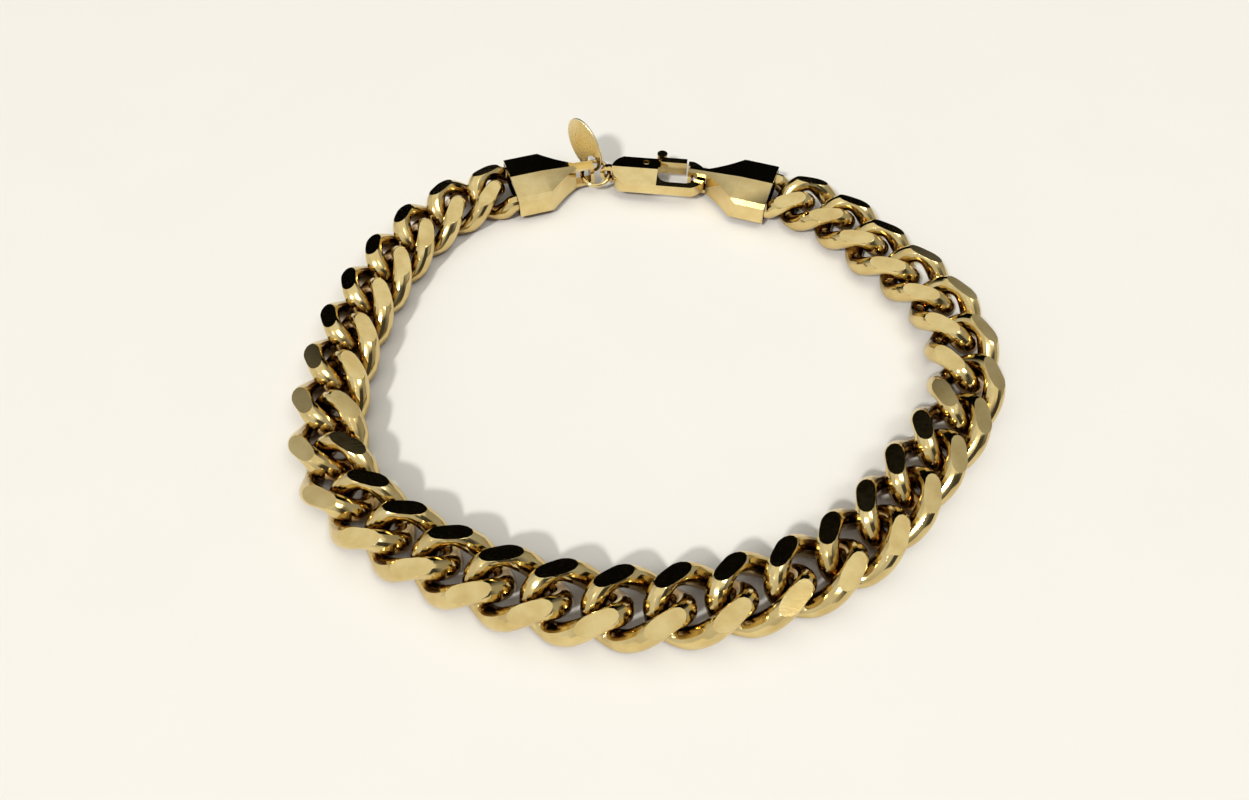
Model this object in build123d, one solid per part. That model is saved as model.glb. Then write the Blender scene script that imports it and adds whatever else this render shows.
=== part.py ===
"""A curb (cuban) link bracelet that lies closed in a wide oval, with a lobster clasp at the far side.

Millimetres, +Z up, origin at the centre of the footprint on the surface that it lies on. Each piece is
modelled in a frame of its own, with X along the chain, Y across it and its middle plane at Z = 0.
"""

from build123d import *
import math
import os

# Chain
link_count = 31
link_pitch = 5.9
wire_diameter = 2.2
end_play = 0.4  # how far two links can be pushed together
side_play = 0.8  # beside the neighbour's wire, on each side, inside a link
link_twist = 46.0  # how far each end of a link is turned out of the flat, in degrees
oval_power = 2.5  # of a link's oval: 2 gives an ellipse, more gives squarer ends
oval_points = 20  # on a link's centre line
facet_slope = 17.0  # of the cut facets, away from the chain's middle line, in degrees
facet_depth = 0.7  # of the cut into the wire

# Caps
cap_length = 11.5
cap_shoulder = 7.2  # from its tip to the end of the flare
cap_neck_width = 1.4
cap_flare_bow = 0.3  # how far the flare curves in from straight
cap_shoulder_rounding = 1.2
cap_mouth_rounding = 0.3
cap_wall = 0.35
cap_fit = 0.15  # between the end link and the cap's inside
cap_twist = 3.0  # the end link's bow is nearly flat inside the cap, in degrees
cap_headroom = 0.2  # above and below the end link's wire inside the cap
cap_chamfer = 0.5  # along the cap's long edges
cavity_chamfer = 0.35  # along the cavity's long edges
cap_roof_rise = 0.3  # from its long edges to its ridge
cap_mouth_gap = 0.5  # from the end link's centre to the cap's mouth
cap_pin_diameter = 1.2
cap_pin_play = 0.3  # between the cross pin and the end link's bow
cavity_rounding = 2.0
cap_eye_height = 2.9
cap_eye_wall = 0.5  # at the tip
cap_eye_play = 0.75  # between the wall at the tip and what pulls at it
cap_eye_spare = 0.25  # behind the hook's bow

# Clasp
clasp_length = 14.5
clasp_width = 6.0
clasp_thickness = 2.5
clasp_roof_rise = 0.3  # from its long edges to its ridge
clasp_chamfer = 0.4
tail_rounding = 2.8  # length of the rounded stretch at the tail
tail_start = 0.4  # from the tail eye's centre to the body
tail_eye_radius = 1.2
tail_eye_bore = 1.4
tail_eye_width = 0.8
tail_eye_play = 0.4  # between the eye and the jump ring that pulls at it
lever_opening = 6.7  # from the tail eye's centre to the end of the body
mouth_rounding = 1.6  # where the body runs into the hook
hook_width = 1.1
hook_height = 1.5
hook_eye_play = 0.3  # above and below the hook's bow in the cap's eye
hook_return = 0.5  # how far short of the bow's middle the hook's tip ends

# Lever and its pin
lever_width = 1.0
lever_height = 1.9
lever_gap = 0.25  # at the lever's tip and at its root
pivot_setback = 1.7  # from the end of the body
pivot_offset = 1.5  # from the clasp's middle line
tang_radius = 1.15
tang_height = 1.0
slot_gap = 0.1  # above and below the tang
slot_clearance = 0.25  # round the tang
knob_diameter = 1.4
knob_height = 1.9
knob_start = 0.3  # from the end of the body to the knob's centre
knob_reach = 0.8  # from the clasp's far side out to the knob's centre
knob_stem = 0.6  # width of its stem on the gate
pin_diameter = 0.9
pin_gap = 0.05
pin_inset = 0.05

# Jump ring and tag
ring_diameter = 3.7  # of the wire's centre line
ring_wire = 0.55
ring_tilt = 22.0  # its far side stands higher, in degrees
tag_length = 7.6
tag_width = 4.8
tag_thickness = 0.35
tag_bore = 1.8
tag_edge = 0.45  # from the hole to the tag's rim
tag_turn = 100.0  # where on the ring it stands, in degrees from the clasp
tag_facing = 30.0  # how far it is turned on the ring's wire, in degrees
tag_lean = 37.0  # from upright, in degrees
tag_roll = 12.0  # about its own length, in degrees

# The chain's route round the middle of the loop, seen from above and started at the left cap. It gives
# the form only: the size follows from the lengths of the pieces that lie along it.
route_points = [
    (-19.2, 28.8),
    (-26.3, 24.8),
    (-33.7, 11.9),
    (-35.9, 0.7),
    (-32.9, -17.8),
    (-21.7, -26.5),
    (-13.2, -29.9),
    (-2.9, -31.5),
    (8.7, -30.0),
    (18.6, -25.5),
    (29.5, -13.7),
    (34.1, -7.2),
    (35.7, 0.6),
    (34.0, 9.4),
    (30.5, 14.4),
    (23.0, 24.2),
    (14.6, 28.3),
    (8.7, 30.4),
    (1.7, 31.7),
    (-12.0, 31.5),
]

# Sizes that follow
wire_radius = wire_diameter / 2
half_length = (link_pitch + wire_diameter + end_play) / 2
half_width = wire_diameter + side_play
chain_half_width = half_width + wire_radius
cap_eye_length = cap_eye_play + hook_width + cap_eye_spare
cap_eye_bore = hook_height + 2 * hook_eye_play
cap_waist = cap_length - cap_eye_wall - cap_eye_length
cap_pull_point = cap_mouth_gap + cap_length - cap_eye_wall - cap_eye_play
left_reach = cap_pull_point - ring_wire / 2
right_reach = cap_pull_point - hook_width / 2
clasp_half_width = clasp_width / 2
clasp_end = clasp_length - tail_eye_radius
tail_pull = tail_eye_bore / 2 - tail_eye_play - ring_wire / 2
clasp_reach = clasp_end - hook_width / 2 + tail_pull
bow_centre = clasp_end - clasp_half_width
hook_tip = bow_centre + hook_return
pivot = Vector(lever_opening - pivot_setback, pivot_offset)


def signed_power(value, power):
    """The value raised to the power without its sign, which is then given back."""
    return math.copysign(abs(value) ** power, value)


def link_line(back_twist, front_twist):
    """A link's closed centre line: an oval whose two ends are turned out of the flat."""
    points = []
    for k in range(oval_points):
        turn = math.pi / 2 - 2 * math.pi * k / oval_points
        x = half_length * signed_power(math.cos(turn), 2 / oval_power)
        y = half_width * signed_power(math.sin(turn), 2 / oval_power)
        twist = front_twist if x > 0 else back_twist
        angle = -math.radians(twist) * math.sin(math.pi / 2 * x / half_length)
        points.append((x, y * math.cos(angle), y * math.sin(angle)))
    return Spline(*points, periodic=True)


def facet_normal():
    """The way that a link's near top facet looks: up, and out from the middle line."""
    slope = math.radians(facet_slope)
    return Vector(0, -math.sin(slope), math.cos(slope))


def facet_reach():
    """How far out along its own normal each facet of a plain link lies."""
    line = link_line(link_twist, link_twist)
    points = [line @ (k / (4 * oval_points)) for k in range(4 * oval_points)]
    return max(point.dot(facet_normal()) for point in points) + wire_radius - facet_depth


def facet_prism():
    """The lozenge bar, along X, whose four sides are the planes of the facets."""
    slope = math.radians(facet_slope)
    side = facet_reach() / math.sin(slope)
    top = facet_reach() / math.cos(slope)
    section = Plane.YZ * Polygon((side, 0), (0, top), (-side, 0), (0, -top), align=None)
    return extrude(section, 2 * half_length, both=True)


def make_link(back_twist, front_twist):
    """One link: two bows of round wire, cut to two facets on top and two underneath."""
    line = link_line(back_twist, front_twist)
    link = Part()
    for start in (0, 1 / 2):
        bow = line.trim(start, start + 1 / 2)
        wire = sweep(Plane(origin=bow @ 0, z_dir=bow % 0) * Circle(wire_radius), path=bow)
        link += wire & facet_prism()
    return link


plain_link = make_link(link_twist, link_twist)
chain_half_height = plain_link.bounding_box().max.Z
cap_half_width = chain_half_width + cap_fit + cap_wall
cavity_half_height = wire_radius + cap_headroom
cap_eave = cavity_half_height + cap_wall
cap_ridge = cap_eave + cap_roof_rise


def roof_section(half, ridge, eave, chamfer):
    """A low roof above and below, with chamfered long edges, seen along the chain."""
    quarter = [(0, ridge), (half - chamfer, eave), (half, eave - chamfer)]
    lower = [(y, -z) for y, z in reversed(quarter)]
    other = [(-y, z) for y, z in reversed((quarter + lower)[1:-1])]
    return Plane.YZ * Polygon(*quarter, *lower, *other, align=None)


def cap_plan():
    """The cap from above, its mouth at X = 0: a box that flares in to a narrow neck at the tip."""
    neck = cap_neck_width / 2
    shoulder = cap_length - cap_shoulder
    side = Line((0, cap_half_width), (shoulder, cap_half_width))
    side += SagittaArc((shoulder, cap_half_width), (cap_waist, neck), cap_flare_bow)
    side += Line((cap_waist, neck), (cap_length, neck))
    ends = Line((0, cap_half_width), (0, -cap_half_width)) + Line((cap_length, neck), (cap_length, -neck))
    plan = make_face(side + mirror(side, about=Plane.XZ) + ends)
    corners = plan.vertices().filter_by(lambda corner: abs(corner.Y) > cap_half_width - cap_wall)
    plan = fillet(corners.sort_by(Axis.X)[-2:], cap_shoulder_rounding)
    corners = plan.vertices().filter_by(lambda corner: abs(corner.Y) > cap_half_width - cap_wall)
    return fillet(corners.sort_by(Axis.X)[:2], cap_mouth_rounding)


def cap_roofs():
    """What the cap's roofs leave above and below: level over the box, lower towards the tip."""
    shoulder = cap_length - cap_shoulder
    drop = cap_ridge - cap_eye_height / 2
    level = roof_section(cap_half_width, cap_ridge, cap_eave, cap_chamfer)
    lower = roof_section(cap_half_width, cap_ridge - drop, cap_eave - drop, cap_chamfer)
    taper = loft([Pos(shoulder, 0, 0) * level, Pos(cap_length, 0, 0) * lower], ruled=True)
    return extrude(level, shoulder, both=True) + taper


def make_cap():
    """A hollow box for half of the end link, with a cross pin, and an upright eye at its tip."""
    body = extrude(cap_plan(), cap_ridge, both=True) & cap_roofs()
    depth = half_length + wire_radius + cap_fit - cap_mouth_gap
    half_cavity = chain_half_width + cap_fit
    cavity = Box(2 * depth, 2 * half_cavity, 2 * cavity_half_height)
    cavity = fillet(cavity.edges().filter_by(Axis.Z), cavity_rounding)
    body -= chamfer(cavity.edges().filter_by(Axis.X), cavity_chamfer)
    bore = Box(cap_eye_length, cap_half_width, cap_eye_bore)
    body -= Pos(cap_waist + cap_eye_length / 2, 0, 0) * bore
    pin_x = half_length - wire_radius - cap_pin_play - cap_pin_diameter / 2 - cap_mouth_gap
    body += Pos(pin_x, 0, 0) * Cylinder(cap_pin_diameter / 2, 2 * cavity_half_height)
    return Pos(cap_mouth_gap, 0, 0) * body


def clasp_outline():
    """The whole clasp from above, its tail eye's centre at X = 0 and its bow at the far end."""
    middle = tail_start + tail_rounding
    outline = Pos(middle, 0) * Ellipse(tail_rounding, clasp_half_width)
    outline += Pos(middle, 0) * Rectangle(bow_centre - middle, clasp_width, align=(Align.MIN, Align.CENTER))
    return outline + Pos(bow_centre, 0) * Circle(clasp_half_width)


def mouth_plan():
    """The clasp's opening and the lever's place beside it, from above."""
    inner = clasp_half_width - hook_width
    length = bow_centre - lever_opening
    mouth = Pos(lever_opening, 0) * Rectangle(length, 2 * inner, align=(Align.MIN, Align.CENTER))
    mouth = fillet(mouth.vertices().sort_by(Axis.X)[:2].sort_by(Axis.Y)[:1], mouth_rounding)
    mouth += Pos(bow_centre, 0) * Circle(inner)
    gate = Rectangle(hook_tip - lever_opening, clasp_width, align=(Align.MIN, Align.MIN))
    return mouth + Pos(lever_opening, 0) * gate


def make_clasp_body():
    """The body with its fixed hook, the slot and hole for the lever, and the upright tail eye."""
    half_thickness = clasp_thickness / 2
    eave = half_thickness - clasp_roof_rise
    body = extrude(clasp_outline() - mouth_plan(), half_thickness, both=True)
    roofs = roof_section(clasp_half_width, half_thickness, eave, clasp_chamfer)
    body &= extrude(roofs, clasp_length, both=True)
    beyond = Box(clasp_length, 2 * clasp_width, clasp_thickness, align=(Align.MIN, Align.CENTER, Align.MIN))
    for face in (-1, 1):
        level = Pos(lever_opening, 0, face * hook_height / 2)
        body -= level * (beyond if face > 0 else mirror(beyond, about=Plane.XY))
    slot_height = tang_height + 2 * slot_gap
    slot_start = pivot.X - tang_radius - slot_clearance
    slot_floor = pivot.Y - tang_radius - slot_clearance
    slot = Box(clasp_length, clasp_width, slot_height, align=(Align.MIN, Align.MIN, Align.CENTER))
    body -= (Pos(slot_start, slot_floor, 0) * slot) & (Pos(lever_opening, 0, 0) * Box(
        2 * lever_opening, 4 * clasp_width, slot_height, align=(Align.MAX, Align.CENTER, Align.CENTER)))
    body -= Pos(pivot) * Cylinder(pin_diameter / 2 + pin_gap, clasp_thickness)
    eye = Rot(90, 0, 0) * Cylinder(tail_eye_radius, tail_eye_width)
    bore = Rot(90, 0, 0) * Cylinder(tail_eye_bore / 2, clasp_width)
    return body + eye - bore


def make_lever():
    """The gate along the clasp's far side, with its tang in the body's slot and the thumb knob."""
    start = lever_opening + lever_gap
    end = hook_tip - lever_gap
    inner = clasp_half_width - lever_width
    gate_box = Pos(start, inner) * Rectangle(end - start, lever_width, align=(Align.MIN, Align.MIN))
    gate = extrude(clasp_outline() & gate_box, lever_height / 2, both=True)
    arm = Polygon(
        (pivot.X, pivot.Y - tang_radius),
        (start + lever_width, inner),
        (start + lever_width, clasp_half_width),
        (pivot.X, clasp_half_width),
        align=None,
    )
    tang = extrude(Pos(pivot) * Circle(tang_radius) + arm, tang_height / 2, both=True)
    knob = Pos(lever_opening + knob_start, clasp_half_width + knob_reach, 0)
    knob *= Cylinder(knob_diameter / 2, knob_height)
    knob += Pos(start, inner, 0) * Box(
        knob_stem, lever_width + knob_reach, tang_height, align=(Align.MIN, Align.MIN, Align.CENTER))
    hole = Pos(pivot) * Cylinder(pin_diameter / 2 + pin_gap, clasp_thickness)
    return gate + tang + knob - hole


def make_pin():
    """The lever's rivet, its ends just below the body's roofs."""
    slope = clasp_roof_rise / (clasp_half_width - clasp_chamfer)
    length = clasp_thickness - 2 * (pivot.Y + pin_diameter / 2) * slope - 2 * pin_inset
    return Pos(pivot) * Cylinder(pin_diameter / 2, length)


def make_ring():
    """The jump ring, from the left cap's eye at X = 0 to the clasp's tail eye."""
    return Pos(ring_diameter / 2, 0, 0) * Rot(ring_tilt, 0, 0) * Torus(ring_diameter / 2, ring_wire / 2)


def make_tag():
    """The oval tag, standing on the jump ring and leaning out from it, in the jump ring's frame."""
    turn = math.radians(tag_turn)
    tilt = math.radians(ring_tilt)
    lean = math.radians(tag_lean)
    facing = math.radians(tag_turn + tag_facing)
    radius = ring_diameter / 2
    across = radius * math.sin(turn)
    hole = Vector(radius + radius * math.cos(turn), across * math.cos(tilt), across * math.sin(tilt))
    outward = Vector(math.cos(facing), math.sin(facing), 0)
    upright = outward * math.sin(lean) + Vector(0, 0, 1) * math.cos(lean)
    plane = Plane(origin=hole, x_dir=upright, z_dir=Vector(math.sin(facing), -math.cos(facing), 0))
    plane *= Rot(tag_roll, 0, 0)
    middle = tag_length / 2 - tag_edge - tag_bore / 2
    plan = Pos(middle, 0) * Ellipse(tag_length / 2, tag_width / 2) - Circle(tag_bore / 2)
    return extrude(plane * plan, tag_thickness / 2, both=True)


def place(piece, start, end):
    """The piece moved so that its own X axis runs from start towards end."""
    heading = math.degrees(math.atan2(end.Y - start.Y, end.X - start.X))
    return Location((start.X, start.Y, chain_half_height), (0, 0, heading)) * piece


def make_route(length):
    """The closed route at the length that its pieces need."""
    form = Spline(*route_points, periodic=True)
    ratio = length / form.length
    return Spline(*[(x * ratio, y * ratio) for x, y in route_points], periodic=True)


def assemble():
    """Every piece in its place along the route, by name."""
    right_eye_at = (link_count - 1) * link_pitch + right_reach
    tail_at = right_eye_at + clasp_reach
    left_eye_at = tail_at + ring_diameter
    route = make_route(left_eye_at + left_reach)

    def on_route(distance):
        return route.position_at(distance, PositionMode.LENGTH)

    right_eye = on_route(right_eye_at)
    tail = on_route(tail_at)
    left_eye = on_route(left_eye_at)
    stops = [on_route(k * link_pitch) for k in range(link_count)]
    pieces = {}
    for k in range(1, link_count - 1):
        ahead = stops[k] + stops[k + 1] - stops[k - 1]
        pieces[f"link_{k + 1:02d}"] = place(plain_link, stops[k], ahead)
    end_link = make_link(link_twist, cap_twist)
    pieces["link_01"] = place(end_link, stops[0], left_eye)
    pieces[f"link_{link_count:02d}"] = place(end_link, stops[-1], right_eye)
    cap = make_cap()
    pieces["left_cap"] = place(cap, stops[0], left_eye)
    pieces["right_cap"] = place(cap, stops[-1], right_eye)
    pulled = Pos(tail_pull, 0, 0)
    pieces["clasp_body"] = place(pulled * make_clasp_body(), tail, right_eye)
    pieces["clasp_lever"] = place(pulled * make_lever(), tail, right_eye)
    pieces["lever_pin"] = place(pulled * make_pin(), tail, right_eye)
    pieces["jump_ring"] = place(make_ring(), left_eye, tail)
    pieces["tag"] = place(make_tag(), left_eye, tail)
    hinge = place(pulled * Pos(pivot), tail, right_eye)
    return pieces, hinge


def main():
    os.makedirs("parts", exist_ok=True)
    pieces, hinge = assemble()
    box = Compound(children=list(pieces.values())).bounding_box()
    home = Pos(-box.center().X, -box.center().Y, -box.min.Z)
    for name, piece in pieces.items():
        solid = (home * piece).solid()
        solid.label = name
        export_step(solid, f"parts/{name}.step")
    axis = home * hinge
    print("lever hinge", [round(value, 3) for value in axis.position])
    print("clasp heading", round(axis.orientation.Z, 2))


main()
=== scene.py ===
import math
import bmesh
import bpy
from mathutils import Matrix, Vector


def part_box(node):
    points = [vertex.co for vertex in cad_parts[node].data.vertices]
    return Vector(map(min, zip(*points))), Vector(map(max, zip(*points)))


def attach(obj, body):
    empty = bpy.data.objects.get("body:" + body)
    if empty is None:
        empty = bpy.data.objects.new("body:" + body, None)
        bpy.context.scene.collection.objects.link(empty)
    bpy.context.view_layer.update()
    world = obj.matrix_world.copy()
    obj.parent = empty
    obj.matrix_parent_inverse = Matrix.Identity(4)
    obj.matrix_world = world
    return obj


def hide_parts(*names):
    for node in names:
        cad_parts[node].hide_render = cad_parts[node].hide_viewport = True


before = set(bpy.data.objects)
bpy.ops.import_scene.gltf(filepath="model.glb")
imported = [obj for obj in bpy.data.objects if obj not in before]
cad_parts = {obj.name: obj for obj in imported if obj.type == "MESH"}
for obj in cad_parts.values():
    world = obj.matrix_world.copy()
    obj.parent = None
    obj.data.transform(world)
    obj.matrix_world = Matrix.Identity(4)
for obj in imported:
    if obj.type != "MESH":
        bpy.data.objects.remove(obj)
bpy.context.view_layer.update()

# Sizes are in millimetres, as in the part's source. Each piece is modelled round the origin, with X along
# the chain and its middle plane at Z = 0, and is then set down in its place, in metres.
MM = 0.001

# Chain
LINK_COUNT = 31
WIRE_RADIUS = 1.1
LINK_HALF_LENGTH = 4.33
LINK_HALF_WIDTH = 3.0
LINK_TWIST = 46.0
CAP_TWIST = 3.0  # of an end link's half inside its cap
SIDE_SWELL = 0.08  # the wire is thicker along the sides and round the ends than at the corners
SIDE_SWELL_REACH = 0.42  # as a share of the half length, as the next two are
BOW_SWELL_START = 0.7
BOW_SWELL_RUN = 0.3
BOW_SWELL = 0.2
CORNER_THINNING = -0.7  # the least that the sides' swell comes down to
CAP_FADE = 1.5  # how far behind an end link's middle its wire starts to lose the swell
FACET_SLOPE = 17.0
FACET_DEPTH = 0.7
FACET_EDGE = 0.07  # rounding along each facet
FACET_SHARP = 14.0  # edges sharper than this are a facet's
CHAIN_MIDDLE = 2.3745  # height of the chain's middle plane

# Caps, measured from the end link's centre
CAP_MOUTH = 0.5
CAP_TIP = 12.0
CAP_SHOULDER = 4.8
CAP_WAIST = 9.4
CAP_HALF_WIDTH = 4.6
CAP_NECK = 0.7
CAP_FLARE_BOW = 0.3
CAP_RIDGE = 1.95
CAP_ROOF_RISE = 0.3
CAP_CHAMFER = 0.5
CAP_SHOULDER_ROUNDING = 0.55
CAP_MOUTH_ROUNDING = 0.3
CAP_EYE_HALF_HEIGHT = 1.45
CAP_CAVITY = (5.5, 4.25, 1.3)  # its depth, half width and half height
CAP_CAVITY_ROUNDING = 2.0
CAP_CAVITY_CHAMFER = 0.35
CAP_BORE = (9.4, 11.5, 1.05)  # its start, end and half height
CAP_PIN = (2.25, 0.6)  # its place along the cap and its radius
CAP_PIN_BITE = 0.2  # how much longer the cross pin is than the cavity is high
CAP_EDGE = 0.1

# Clasp, measured from its tail eye's centre
CLASP_HALF_WIDTH = 3.0
CLASP_HALF_THICKNESS = 1.25
CLASP_ROOF_RISE = 0.3
CLASP_CHAMFER = 0.4
CLASP_TAIL = 3.2
CLASP_TAIL_ROUNDING = 2.8
CLASP_BOW = 10.3
CLASP_OPENING = 6.7
CLASP_EDGE = 0.08
MOUTH_HALF_WIDTH = 1.9
MOUTH_ROUNDING = 1.6
HOOK_HALF_HEIGHT = 0.75
HOOK_TIP = 10.8
TAIL_EYE = (1.2, 0.7, 0.8)  # its radius, bore radius and width
PIVOT = (5.0, 1.5)
PIVOT_HOLE = 0.5
SLOT = (3.6, 0.1, 0.6)  # where it starts along and across, and its half height
GATE = (6.95, 10.55, 2.0, 0.95)  # its start, end, inner face and half height
TANG = (1.15, 0.5)  # its radius and half thickness
ARM_END = 7.95
KNOB = (7.0, 3.8, 0.7, 0.95)  # its place along and across, radius and half height
KNOB_STEM = 0.6
KNOB_STEM_START = 0.1  # from the gate's inner face
LEVER_EDGE = 0.1
LEVER_PIN = (0.45, 1.95)  # its radius and length
LEVER_PIN_DOME = 0.14
OUTSIDE = (15.0, 4.0, 3.0)  # a corner well outside the clasp, for the tools that cut it

# Jump ring and tag
RING_RADIUS = 1.85
RING_WIRE = 0.275
RING_TILT = 22.0
TAG_SIZE = (7.6, 4.8, 0.35)
TAG_BORE = 0.9
TAG_MIDDLE = 2.45  # from the hole to the tag's middle
TAG_TURN = 100.0
TAG_FACING = 30.0
TAG_LEAN = 37.0
TAG_ROLL = 12.0
TAG_EDGE = 0.08

# Where the pieces stand, seen from above: across, away and the heading in degrees
LEFT_CAP_PLACE = (-18.949, 28.067, 18.27)
RIGHT_CAP_PLACE = (16.962, 26.746, 160.98)
CLASP_PLACE = (-5.316, 31.559, -6.73)
RING_PLACE = (-9.031, 31.341, 3.43)

# How finely the pieces are made
LINK_SIDES = 72
LINK_SIDE_CUTS = 5
WIRE_FINENESS = 7
FLARE_STEPS = 8
SHOULDER_SEGMENTS = 12
ROUNDING_SEGMENTS = 24
ROUND_SIDES = 96
RING_WIRE_SIDES = 24
TAG_SIDES = 180
EDGE_SEGMENTS = 3
FACET_SEGMENTS = 2
DOME_SEGMENTS = 4

# Margins
NEAR = 0.01  # a point as near as this to a place counts as there
STATION_MARGIN = 0.002  # the same, for points in one row across a piece
WELD = 0.002  # points as near as this to each other become one
LINK_WELD = 0.001  # the same, for a link
HAIR = 0.002  # keeps two faces that meet from lying exactly in one plane
SLICE_MARGIN = 0.0001
LONG_SHARE = 0.8  # of a link's half side: its two long edges are longer than this
LEVEL = 0.9  # a face whose normal stands up more than this is a top or a bottom
SPARE = 1.0  # how far a block or a tool stands past what it has to reach
FLAT_ANGLE = 0.5  # edges flatter than this are dissolved
SHARP_ANGLE = 4.4  # edges sharper than this are rounded
SMOOTH_ANGLE = 35.0  # edges sharper than this stay sharp in the shading

# The photograph's view
CAMERA_PLACE = (-3.20, -66.64, 81.03)
CAMERA_ANGLE = 36.9  # from straight down
LENS = 25.49
SENSOR = 36.0

# Light: the walls' brightness on the way round, from 0 behind the camera through 0.5 at the far side
WALLS = (
    (0.0, 0.7),
    (0.10, 0.8),
    (0.25, 0.85),
    (0.34, 0.55),
    (0.375, 0.002),
    (0.585, 0.002),
    (0.625, 0.42),
    (0.80, 0.48),
    (0.86, 0.06),
    (0.95, 0.08),
    (1.0, 0.7),
)
OVERHEAD = (0.98, 0.97, 0.925)
LAMP_COLOUR = (1.0, 0.985, 0.95)
FLOOR_SIZE = 6.0  # in metres

# Where a colour mix takes its two colours in, and where it gives the mixed one out
MIX_FIRST, MIX_SECOND, MIX_RESULT = 6, 7, 2


def alone(piece):
    """Selects that piece and nothing else."""
    if bpy.context.mode != "OBJECT":
        bpy.ops.object.mode_set(mode="OBJECT")
    bpy.ops.object.select_all(action="DESELECT")
    piece.select_set(True)
    bpy.context.view_layer.objects.active = piece


def added(name):
    """The object that was just added, under its name."""
    piece = bpy.context.active_object
    piece.name = name
    piece.data.name = name
    return piece


def pick(piece, test, kind="VERT"):
    """In edit mode, selects the vertices, edges or faces that pass the test."""
    bpy.ops.mesh.select_mode(type=kind)
    bpy.ops.mesh.select_all(action="DESELECT")
    mesh = bmesh.from_edit_mesh(piece.data)
    parts = {"VERT": mesh.verts, "EDGE": mesh.edges, "FACE": mesh.faces}[kind]
    for part in parts:
        if test(part):
            part.select_set(True)
    mesh.select_flush_mode()
    bmesh.update_edit_mesh(piece.data)


def upright_at(x, y):
    """The test for the upright edges at that place along, on both sides."""
    return lambda e: all(abs(abs(v.co.y) - y) + abs(v.co.x - x) < NEAR for v in e.verts)


def shape(piece):
    """Opens a piece in edit mode."""
    alone(piece)
    bpy.ops.object.mode_set(mode="EDIT")


def done(piece):
    """Leaves edit mode."""
    bpy.ops.object.mode_set(mode="OBJECT")
    return piece


def thicken(block, half_height):
    """Draws a flat shape out to a block, half above and half below its plane, and leaves edit mode."""
    bpy.ops.mesh.select_all(action="SELECT")
    bpy.ops.mesh.extrude_region_move(TRANSFORM_OT_translate={"value": (0, 0, 2 * half_height)})
    bpy.ops.mesh.select_all(action="SELECT")
    bpy.ops.transform.translate(value=(0, 0, -half_height))
    bpy.ops.mesh.normals_make_consistent(inside=False)
    return done(block)


def modify(piece, kind, **settings):
    """Adds a modifier, sets it and applies it."""
    alone(piece)
    bpy.ops.object.modifier_add(type=kind)
    modifier = piece.modifiers[-1]
    for key, value in settings.items():
        setattr(modifier, key, value)
    bpy.ops.object.modifier_apply(modifier=modifier.name)


def clear_away(piece):
    """Deletes a tool or a pattern."""
    alone(piece)
    bpy.ops.object.delete()


def cut(piece, tool, operation="DIFFERENCE", solver="EXACT"):
    """Cuts a piece with a tool, or joins them, and clears the tool away."""
    modify(piece, "BOOLEAN", operation=operation, solver=solver, object=tool)
    clear_away(tool)


def slice_off(piece, point, normal):
    """Cuts off what lies beyond a plane, and closes the cut."""
    shape(piece)
    bpy.ops.mesh.select_all(action="SELECT")
    bpy.ops.mesh.bisect(
        plane_co=point, plane_no=normal, use_fill=True, clear_outer=True, threshold=SLICE_MARGIN
    )
    done(piece)


def settle(piece):
    """Applies a piece's place, turn and scale to its mesh."""
    alone(piece)
    bpy.ops.object.transform_apply(location=True, rotation=True, scale=True)


def bar(name, low, high):
    """A bar between two corners."""
    middle = (Vector(low) + Vector(high)) / 2
    bpy.ops.mesh.primitive_cube_add(size=1, location=middle, scale=Vector(high) - Vector(low))
    piece = added(name)
    settle(piece)
    return piece


def rod(name, middle, radius, length, axis="Z"):
    """A round rod, upright or along Y."""
    turn = {"Z": (0, 0, 0), "Y": (math.pi / 2, 0, 0)}[axis]
    bpy.ops.mesh.primitive_cylinder_add(
        vertices=ROUND_SIDES, radius=radius, depth=length, location=middle, rotation=turn
    )
    piece = added(name)
    settle(piece)
    return piece


def soften(piece, width, segments=EDGE_SEGMENTS):
    """Rounds the sharp edges a little, so that they catch the light."""
    shape(piece)
    bpy.ops.mesh.select_all(action="SELECT")
    bpy.ops.mesh.remove_doubles(threshold=WELD)
    bpy.ops.mesh.dissolve_limited(angle_limit=math.radians(FLAT_ANGLE))
    bpy.ops.mesh.normals_make_consistent(inside=False)
    done(piece)
    modify(
        piece,
        "BEVEL",
        width=width,
        segments=segments,
        limit_method="ANGLE",
        angle_limit=math.radians(SHARP_ANGLE),
        use_clamp_overlap=True,
        miter_outer="MITER_ARC",
    )


def set_down(piece, x, y, heading):
    """Moves a piece to its place in the bracelet, and smooths its shading, with the flat faces kept flat."""
    piece.matrix_world = (
        Matrix.Translation(Vector((x, y, CHAIN_MIDDLE)) * MM)
        @ Matrix.Rotation(math.radians(heading), 4, "Z")
        @ Matrix.Scale(MM, 4)
    )
    settle(piece)
    bpy.ops.object.shade_smooth_by_angle(angle=math.radians(SMOOTH_ANGLE), keep_sharp_edges=False)
    modify(piece, "WEIGHTED_NORMAL", mode="FACE_AREA", weight=100, keep_sharp=True)


def copy_of(piece, name):
    """A copy with a mesh of its own."""
    twin = piece.copy()
    twin.data = piece.data.copy()
    twin.name = name
    twin.data.name = name
    bpy.context.scene.collection.objects.link(twin)
    return twin


def finished(piece, node, body, material):
    """The piece stands for its CAD node, rides on its body and gets its metal."""
    piece.data.materials.clear()
    piece.data.materials.append(material)
    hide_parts(node)
    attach(piece, body)


# Materials


def node_in(tree, kind, values=None, **settings):
    """A node with its settings and the values of its sockets."""
    node = tree.nodes.new(kind)
    for key, value in settings.items():
        setattr(node, key, value)
    for socket, value in (values or {}).items():
        node.inputs[socket].default_value = value
    return node


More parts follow.
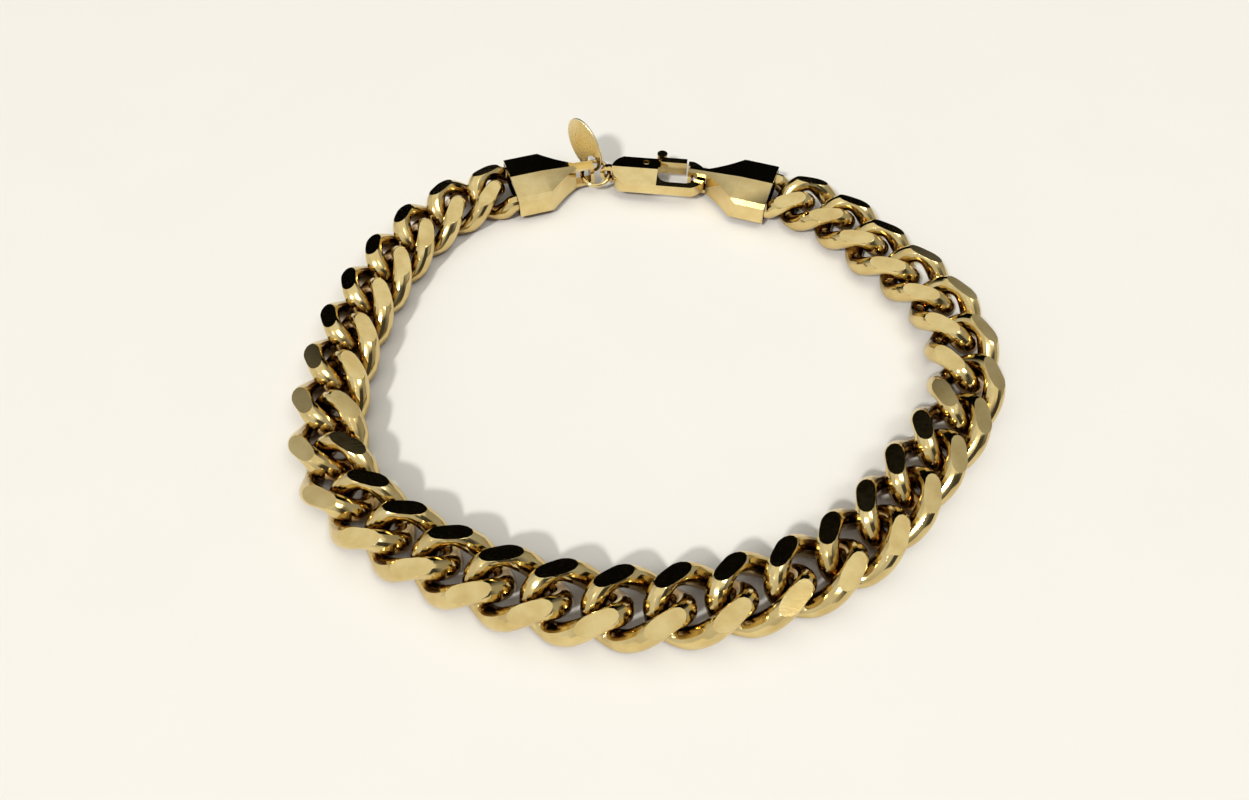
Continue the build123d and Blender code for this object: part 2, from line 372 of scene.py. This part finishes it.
def ramp_in(tree, stops):
    """A colour ramp with its stops, each a position and a colour."""
    node = node_in(tree, "ShaderNodeValToRGB")
    elements = node.color_ramp.elements
    elements[0].position, elements[1].position = stops[0][0], stops[-1][0]
    elements[0].color, elements[1].color = (*stops[0][1], 1), (*stops[-1][1], 1)
    for position, colour in stops[1:-1]:
        elements.new(position).color = (*colour, 1)
    return node


def join(tree, source, output, target, socket):
    """Links one node's output to another's socket."""
    tree.links.new(source.outputs[output], target.inputs[socket])


def new_material(name):
    """A material with its tree, its shader and the place on the object."""
    material = bpy.data.materials.new(name)
    material.use_nodes = True
    tree = material.node_tree
    return material, tree, tree.nodes["Principled BSDF"], node_in(tree, "ShaderNodeTexCoord")


def polished_gold(name, colour, deep, roughness, scratch_scale, relief=0.05):
    """Polished gold plate: slightly cloudy, with painted shade browning the recesses, and hairline wear in
    the surface.
    """
    material, tree, shader, place = new_material(name)
    shader.inputs["Metallic"].default_value = 1.0
    cloud = node_in(tree, "ShaderNodeTexNoise", {"Scale": 420.0, "Detail": 4.0})
    join(tree, place, "Object", cloud, "Vector")
    tone = ramp_in(tree, ((0.35, deep), (0.65, colour)))
    join(tree, cloud, "Fac", tone, "Fac")
    # Painted shade: ambient occlusion turns the base colour dark brown in recesses and between touching
    # parts, where shade falls.
    shade_occlusion = node_in(tree, "ShaderNodeAmbientOcclusion", {"Distance": 0.003}, samples=8)
    unshaded_share = node_in(
        tree, "ShaderNodeMapRange", {"From Min": 0.15, "From Max": 0.7}, interpolation_type="SMOOTHSTEP"
    )
    join(tree, shade_occlusion, "AO", unshaded_share, "Value")
    painted_shade = node_in(tree, "ShaderNodeMix", data_type="RGBA")
    painted_shade.inputs[MIX_FIRST].default_value = (0.235, 0.12, 0.03, 1)
    join(tree, unshaded_share, "Result", painted_shade, "Factor")
    join(tree, tone, "Color", painted_shade, MIX_SECOND)
    join(tree, painted_shade, MIX_RESULT, shader, "Base Color")
    wear = node_in(tree, "ShaderNodeTexNoise", {"Scale": scratch_scale, "Detail": 6.0, "Roughness": 0.65})
    stretch = node_in(tree, "ShaderNodeMapping", {"Rotation": (0.2, 0.1, 0.7), "Scale": (1.0, 9.0, 4.0)})
    join(tree, place, "Object", stretch, "Vector")
    join(tree, stretch, "Vector", wear, "Vector")
    gloss = node_in(
        tree,
        "ShaderNodeMapRange",
        {"From Min": 0.3, "From Max": 0.7, "To Min": roughness * 0.75, "To Max": roughness * 1.35},
    )
    join(tree, wear, "Fac", gloss, "Value")
    join(tree, gloss, "Result", shader, "Roughness")
    bump = node_in(tree, "ShaderNodeBump", {"Strength": relief, "Distance": 0.00002})
    join(tree, wear, "Fac", bump, "Height")
    join(tree, bump, "Normal", shader, "Normal")
    return material


chain_gold = polished_gold("chain_gold", (0.72, 0.57, 0.265), (0.61, 0.455, 0.185), 0.10, 900.0)
tag_gold = polished_gold("tag_gold", (0.97, 0.84, 0.54), (0.90, 0.76, 0.45), 0.24, 700.0, 0.012)
fitting_gold = polished_gold("fitting_gold", (0.78, 0.63, 0.31), (0.68, 0.52, 0.23), 0.08, 700.0)


# Links


def link_path(name, back_twist, front_twist):
    """The centre line of a link: a ring drawn out to an oval, its two ends turned out of the flat."""
    half_side = LINK_HALF_LENGTH - LINK_HALF_WIDTH
    bpy.ops.mesh.primitive_circle_add(vertices=LINK_SIDES, radius=LINK_HALF_WIDTH, fill_type="NOTHING")
    path = added(name)
    shape(path)
    for side in (-1, 1):
        pick(path, lambda v: side * v.co.x > NEAR)
        bpy.ops.transform.translate(value=(side * half_side, 0, 0))
    pick(path, lambda e: e.calc_length() > LONG_SHARE * half_side, "EDGE")
    bpy.ops.mesh.subdivide(number_cuts=LINK_SIDE_CUTS)
    mesh = bmesh.from_edit_mesh(path.data)
    stations = sorted({round(v.co.x, 3) for v in mesh.verts})
    for x in stations:
        twist = front_twist if x > 0 else back_twist
        angle = math.radians(twist) * math.sin(math.pi / 2 * x / LINK_HALF_LENGTH)
        pick(path, lambda v: abs(v.co.x - x) < STATION_MARGIN)
        bpy.ops.transform.rotate(value=angle, orient_axis="X", center_override=(0, 0, 0))
    return done(path)


def make_link(name, back_twist, front_twist):
    """One link: round wire along its line, with two facets cut on top and two underneath."""
    link = link_path(name, back_twist, front_twist)
    slope = math.radians(FACET_SLOPE)
    normal = Vector((0, math.sin(slope), math.cos(slope)))
    heights = [abs(v.co.y * normal.y) + abs(v.co.z * normal.z) for v in link.data.vertices]
    reach = max(heights) + WIRE_RADIUS - FACET_DEPTH
    alone(link)
    bpy.ops.object.convert(target="CURVE")
    link = bpy.context.active_object
    line = link.data
    line.dimensions = "3D"
    line.bevel_depth = WIRE_RADIUS
    line.bevel_resolution = WIRE_FINENESS
    line.use_fill_caps = False
    for spline in line.splines:
        for point in spline.points:
            along = point.co.x
            side = max(1 - (along / (SIDE_SWELL_REACH * LINK_HALF_LENGTH)) ** 2, CORNER_THINNING)
            bow = max(abs(along) / LINK_HALF_LENGTH - BOW_SWELL_START, 0) / BOW_SWELL_RUN
            boxed = min(max(along + CAP_FADE, 0), 1) if front_twist < back_twist else 0
            point.radius = 1 + (SIDE_SWELL * side + BOW_SWELL * bow) * (1 - boxed)
    bpy.ops.object.convert(target="MESH")
    link = bpy.context.active_object
    shape(link)
    bpy.ops.mesh.select_all(action="SELECT")
    bpy.ops.mesh.remove_doubles(threshold=LINK_WELD)
    bpy.ops.mesh.normals_make_consistent(inside=False)
    done(link)
    for side in (-1, 1):
        for face in (-1, 1):
            outward = Vector((0, side * normal.y, face * normal.z))
            slice_off(link, outward * reach, outward)
    shape(link)
    facet_sharp = math.radians(FACET_SHARP)
    pick(link, lambda e: len(e.link_faces) == 2 and e.calc_face_angle() > facet_sharp, "EDGE")
    bpy.ops.mesh.bevel(offset=FACET_EDGE, segments=FACET_SEGMENTS, clamp_overlap=True)
    return done(link)


def link_name(number):
    return f"link_{number:02d}"


def middle_of(node):
    low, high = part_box(node)
    return (low + high) / 2 / MM


centres = [middle_of(link_name(k)) for k in range(1, LINK_COUNT + 1)]
plain_link = make_link("plain_link", LINK_TWIST, LINK_TWIST)
end_link = make_link("end_link", LINK_TWIST, CAP_TWIST)
for k in range(LINK_COUNT):
    if k in (0, LINK_COUNT - 1):
        place = LEFT_CAP_PLACE if k == 0 else RIGHT_CAP_PLACE
        pattern = end_link
    else:
        ahead = centres[k + 1] - centres[k - 1]
        place = (centres[k].x, centres[k].y, math.degrees(math.atan2(ahead.y, ahead.x)))
        pattern = plain_link
    link = copy_of(pattern, f"gold_{link_name(k + 1)}")
    set_down(link, *place)
    finished(link, link_name(k + 1), "bracelet", chain_gold)
for pattern in (plain_link, end_link):
    clear_away(pattern)


# Caps


def plate(name, stations, half_height):
    """A flat block with the given half widths at its stations along X."""
    x, width = stations[0]
    bpy.ops.mesh.primitive_plane_add(size=1, location=((x + stations[1][0]) / 2, 0, 0))
    block = added(name)
    block.scale = (stations[1][0] - x, 2 * width, 1)
    settle(block)
    shape(block)
    for (last, wide), (x, width) in zip(stations[1:], stations[2:]):
        pick(block, lambda v: abs(v.co.x - last) < STATION_MARGIN)
        bpy.ops.mesh.extrude_region_move(TRANSFORM_OT_translate={"value": (x - last, 0, 0)})
        bpy.ops.transform.resize(value=(1, width / wide, 1), center_override=(x, 0, 0))
    return thicken(block, half_height)


def roof_off(block, half, ridge, rise, chamfer, drop=0.0, since=0.0, run=1.0):
    """Slices a low roof above and below, with chamfered long edges; it may fall along X by drop over run."""
    for side in (-1, 1):
        for face in (-1, 1):
            across = rise / (half - chamfer)
            outward = Vector((drop / run, side * across, face)).normalized()
            slice_off(block, Vector((since, 0, face * ridge)), outward)
            edge = Vector((since, side * half, face * (ridge - rise - chamfer)))
            slice_off(block, edge, Vector((drop / run, side, face)).normalized())


def make_cap(name):
    """A box that flares in to a narrow neck, with the end link's cavity, a cross pin and an eye."""
    run = CAP_WAIST - CAP_SHOULDER
    rise = CAP_HALF_WIDTH - CAP_NECK
    flare = []
    for k in range(FLARE_STEPS + 1):
        share = k / FLARE_STEPS
        bow = 4 * CAP_FLARE_BOW * share * (1 - share)
        flare.append((CAP_SHOULDER + run * share, CAP_HALF_WIDTH - rise * share - bow))
    cap = plate(name, [(CAP_MOUTH, CAP_HALF_WIDTH)] + flare + [(CAP_TIP, CAP_NECK)], CAP_RIDGE + SPARE)
    shape(cap)
    pick(cap, upright_at(CAP_SHOULDER, CAP_HALF_WIDTH), "EDGE")
    bpy.ops.mesh.bevel(offset=CAP_SHOULDER_ROUNDING, segments=SHOULDER_SEGMENTS)
    pick(cap, upright_at(CAP_MOUTH, CAP_HALF_WIDTH), "EDGE")
    bpy.ops.mesh.bevel(offset=CAP_MOUTH_ROUNDING, segments=ROUNDING_SEGMENTS)
    done(cap)
    roof = (CAP_HALF_WIDTH, CAP_RIDGE, CAP_ROOF_RISE, CAP_CHAMFER)
    roof_off(cap, *roof)
    roof_off(cap, *roof, CAP_RIDGE - CAP_EYE_HALF_HEIGHT, CAP_SHOULDER, CAP_TIP - CAP_SHOULDER)
    depth, half, height = CAP_CAVITY
    cavity = bar("cavity", (-depth, -half, -height), (depth, half, height))
    shape(cavity)
    pick(
        cavity,
        lambda e: all(v.co.x > 0 for v in e.verts) and abs(e.verts[0].co.z - e.verts[1].co.z) > height,
        "EDGE",
    )
    bpy.ops.mesh.bevel(offset=CAP_CAVITY_ROUNDING, segments=ROUNDING_SEGMENTS)
    pick(cavity, lambda f: abs(f.normal.z) > LEVEL, "FACE")
    bpy.ops.mesh.region_to_loop()
    bpy.ops.mesh.bevel(offset=CAP_CAVITY_CHAMFER, segments=1)
    done(cavity)
    cut(cap, cavity)
    start, end, high = CAP_BORE
    cut(cap, bar("bore", (start, -CAP_HALF_WIDTH, -high), (end, CAP_HALF_WIDTH, high)))
    cut(cap, rod("cross_pin", (CAP_PIN[0], 0, 0), CAP_PIN[1], 2 * height + CAP_PIN_BITE), "UNION")
    soften(cap, CAP_EDGE)
    return cap


for name, place in (("left_cap", LEFT_CAP_PLACE), ("right_cap", RIGHT_CAP_PLACE)):
    cap = make_cap(f"gold_{name}")
    set_down(cap, *place)
    finished(cap, name, "bracelet", fitting_gold)


# Clasp


def clasp_block(name, half_height):
    """The whole clasp's outline as a block: a round bow, straight sides and a rounded tail."""
    bpy.ops.mesh.primitive_circle_add(
        vertices=ROUND_SIDES, radius=CLASP_HALF_WIDTH, fill_type="NGON", location=(CLASP_BOW, 0, 0)
    )
    block = added(name)
    settle(block)
    shape(block)
    pick(block, lambda v: v.co.x < CLASP_BOW - NEAR)
    bpy.ops.transform.translate(value=(CLASP_TAIL - CLASP_BOW, 0, 0))
    bpy.ops.transform.resize(
        value=(CLASP_TAIL_ROUNDING / CLASP_HALF_WIDTH, 1, 1), center_override=(CLASP_TAIL, 0, 0)
    )
    return thicken(block, half_height)


def make_clasp_body(name):
    """The body with its hook, its slot and hole for the lever, and the upright tail eye."""
    along, across, high = OUTSIDE
    body = clasp_block(name, CLASP_HALF_THICKNESS + SPARE)
    roof_off(body, CLASP_HALF_WIDTH, CLASP_HALF_THICKNESS, CLASP_ROOF_RISE, CLASP_CHAMFER)
    mouth = bar("mouth", (CLASP_OPENING, -MOUTH_HALF_WIDTH, -high), (CLASP_BOW, MOUTH_HALF_WIDTH, high))
    shape(mouth)
    pick(mouth, lambda e: all(v.co.x < CLASP_OPENING + NEAR and v.co.y < 0 for v in e.verts), "EDGE")
    bpy.ops.mesh.bevel(offset=MOUTH_ROUNDING, segments=ROUNDING_SEGMENTS)
    done(mouth)
    cut(body, mouth)
    cut(body, rod("bow_inside", (CLASP_BOW, 0, 0), MOUTH_HALF_WIDTH, 2 * high))
    cut(body, bar("gate_way", (CLASP_OPENING, 0, -high), (HOOK_TIP, 2 * CLASP_HALF_WIDTH, high)))
    for face in (-1, 1):
        lower, upper = sorted((face * HOOK_HALF_HEIGHT, face * high))
        cut(body, bar("over_hook", (CLASP_OPENING, -across, lower), (along, across, upper)))
    cut(body, bar("slot", (SLOT[0], SLOT[1], -SLOT[2]), (CLASP_OPENING + SPARE, across, SLOT[2])))
    cut(body, rod("pin_hole", (*PIVOT, 0), PIVOT_HOLE, 2 * high))
    cut(body, rod("tail_eye", (0, 0, 0), TAIL_EYE[0], TAIL_EYE[2], "Y"), "UNION")
    cut(body, rod("tail_bore", (0, 0, 0), TAIL_EYE[1], 2 * across, "Y"))
    soften(body, CLASP_EDGE)
    return body


def make_lever(name):
    """The gate along the far side, with its tang, its arm and the thumb knob."""
    _, across, high = OUTSIDE
    start, end, inner, height = GATE
    lever = clasp_block(name, height)
    cut(lever, bar("gate_part", (start, inner, -high), (end, across, high)), "INTERSECT")
    radius, half = TANG
    low_corner = (start + HAIR, inner + KNOB_STEM_START, -half)
    cut(lever, bar("stem", low_corner, (start + KNOB_STEM, KNOB[1], half)), "UNION")
    cut(lever, rod("knob", (KNOB[0], KNOB[1], 0), KNOB[2], 2 * (KNOB[3] + HAIR)), "UNION")
    half -= HAIR
    arm = bar("arm", (PIVOT[0], PIVOT[1] - radius, -half), (ARM_END, CLASP_HALF_WIDTH - HAIR, half))
    shape(arm)
    pick(arm, lambda v: v.co.x > ARM_END - NEAR and v.co.y < PIVOT[1])
    bpy.ops.transform.translate(value=(0, inner - PIVOT[1] + radius, 0))
    done(arm)
    cut(arm, rod("tang", (*PIVOT, 0), radius, 2 * TANG[1]), "UNION")
    cut(lever, arm, "UNION", "MANIFOLD")
    cut(lever, rod("pin_hole", (*PIVOT, 0), PIVOT_HOLE, 2 * high))
    soften(lever, LEVER_EDGE)
    return lever


def make_pin(name):
    """The rivet with its two low domes."""
    radius, length = LEVER_PIN
    pin = rod(name, (*PIVOT, 0), radius, length)
    soften(pin, LEVER_PIN_DOME, DOME_SEGMENTS)
    return pin


for name, body, make in (
    ("clasp_body", "bracelet", make_clasp_body),
    ("clasp_lever", "lever", make_lever),
    ("lever_pin", "bracelet", make_pin),
):
    piece = make(f"gold_{name}")
    set_down(piece, *CLASP_PLACE)
    finished(piece, name, body, fitting_gold)


# Jump ring and tag


def make_ring(name):
    """The jump ring, round wire, its far side standing higher."""
    bpy.ops.mesh.primitive_torus_add(
        major_segments=ROUND_SIDES,
        minor_segments=RING_WIRE_SIDES,
        major_radius=RING_RADIUS,
        minor_radius=RING_WIRE,
    )
    ring = added(name)
    ring.rotation_euler = (math.radians(RING_TILT), 0, 0)
    ring.location = (RING_RADIUS, 0, 0)
    settle(ring)
    return ring


def make_tag(name):
    """The thin oval tag with its hole, standing on the ring's wire and leaning out from it."""
    length, width, thickness = TAG_SIZE
    bpy.ops.mesh.primitive_circle_add(
        vertices=TAG_SIDES, radius=0.5, fill_type="NGON", location=(TAG_MIDDLE, 0, 0)
    )
    tag = added(name)
    tag.scale = (length, width, 1)
    settle(tag)
    shape(tag)
    thicken(tag, thickness / 2)
    cut(tag, rod("hole", (0, 0, 0), TAG_BORE, 2 * SPARE))
    soften(tag, TAG_EDGE)
    turn, tilt, lean = (math.radians(value) for value in (TAG_TURN, RING_TILT, TAG_LEAN))
    facing = math.radians(TAG_TURN + TAG_FACING)
    across = RING_RADIUS * math.sin(turn)
    along = RING_RADIUS + RING_RADIUS * math.cos(turn)
    hole = Vector((along, across * math.cos(tilt), across * math.sin(tilt)))
    upright = Vector((math.cos(facing) * math.sin(lean), math.sin(facing) * math.sin(lean), math.cos(lean)))
    normal = Vector((math.sin(facing), -math.cos(facing), 0))
    stance = Matrix((upright, normal.cross(upright), normal)).transposed().to_4x4()
    tag.matrix_world = Matrix.Translation(hole) @ stance @ Matrix.Rotation(math.radians(TAG_ROLL), 4, "X")
    settle(tag)
    return tag


for name, make, metal in (("jump_ring", make_ring, fitting_gold), ("tag", make_tag, tag_gold)):
    piece = make(f"gold_{name}")
    set_down(piece, *RING_PLACE)
    finished(piece, name, "bracelet", metal)


# Floor, light and camera


def pale_floor():
    """A plain warm white floor."""
    bpy.ops.object.select_all(action="DESELECT")
    bpy.ops.mesh.primitive_plane_add(size=FLOOR_SIZE, location=(0, 0, 0))
    floor = added("floor")
    material, tree, shader, place = new_material("pale_floor")
    shader.inputs["Roughness"].default_value = 0.55
    shader.inputs["Specular IOR Level"].default_value = 0.3
    grain = node_in(tree, "ShaderNodeTexNoise", {"Scale": 60.0, "Detail": 3.0})
    tone = ramp_in(tree, ((0.0, (0.72, 0.70, 0.655)), (1.0, (0.74, 0.72, 0.675))))
    join(tree, place, "Object", grain, "Vector")
    join(tree, grain, "Fac", tone, "Fac")
    join(tree, tone, "Color", shader, "Base Color")
    floor.data.materials.append(material)


def studio_walls():
    """A plain room of soft light: bright overhead, bright left and near walls, and a dark far side."""
    world = bpy.data.worlds.new("studio")
    bpy.context.scene.world = world
    world.use_nodes = True
    tree = world.node_tree
    place = node_in(tree, "ShaderNodeTexCoord")
    split = node_in(tree, "ShaderNodeSeparateXYZ")
    join(tree, place, "Generated", split, 0)
    round_way = node_in(tree, "ShaderNodeMath", operation="ARCTAN2")
    join(tree, split, "X", round_way, 0)
    join(tree, split, "Y", round_way, 1)
    share = node_in(tree, "ShaderNodeMapRange", {"From Min": -math.pi, "From Max": math.pi})
    join(tree, round_way, 0, share, "Value")
    walls = ramp_in(tree, [(position, (value,) * 3) for position, value in WALLS])
    join(tree, share, "Result", walls, "Fac")
    height = node_in(
        tree, "ShaderNodeMapRange", {"From Min": 0.64, "From Max": 0.76}, interpolation_type="SMOOTHSTEP"
    )
    join(tree, split, "Z", height, "Value")
    room = node_in(tree, "ShaderNodeMix", data_type="RGBA")
    join(tree, height, "Result", room, "Factor")
    join(tree, walls, "Color", room, MIX_FIRST)
    room.inputs[MIX_SECOND].default_value = (*OVERHEAD, 1)
    join(tree, room, MIX_RESULT, tree.nodes["Background"], "Color")


def photo_camera():
    """The photograph's view: a wide lens close above, looking down over the near side."""
    camera = bpy.data.objects.new("camera", bpy.data.cameras.new("camera"))
    bpy.context.scene.collection.objects.link(camera)
    camera.data.sensor_width = SENSOR
    camera.data.lens = LENS
    camera.data.clip_start = MM
    camera.location = Vector(CAMERA_PLACE) * MM
    camera.rotation_euler = (math.radians(CAMERA_ANGLE), 0, 0)
    bpy.context.scene.camera = camera


def soft_lamp(name, azimuth, elevation, strength, spread):
    """A distant soft lamp; the azimuth runs clockwise from the far side."""
    bpy.ops.object.select_all(action="DESELECT")
    bpy.ops.object.light_add(type="SUN")
    lamp = bpy.context.active_object
    lamp.name = name
    lamp.data.energy = strength
    lamp.data.angle = math.radians(spread)
    lamp.data.color = LAMP_COLOUR
    lamp.rotation_euler = (math.radians(90 - elevation), 0, math.radians(180 - azimuth))


pale_floor()
studio_walls()
soft_lamp("near_left_lamp", azimuth=210.0, elevation=43.0, strength=2.2, spread=6.0)
soft_lamp("near_right_lamp", azimuth=126.0, elevation=58.0, strength=0.5, spread=20.0)
photo_camera()
bpy.context.scene.view_settings.view_transform = "Standard"
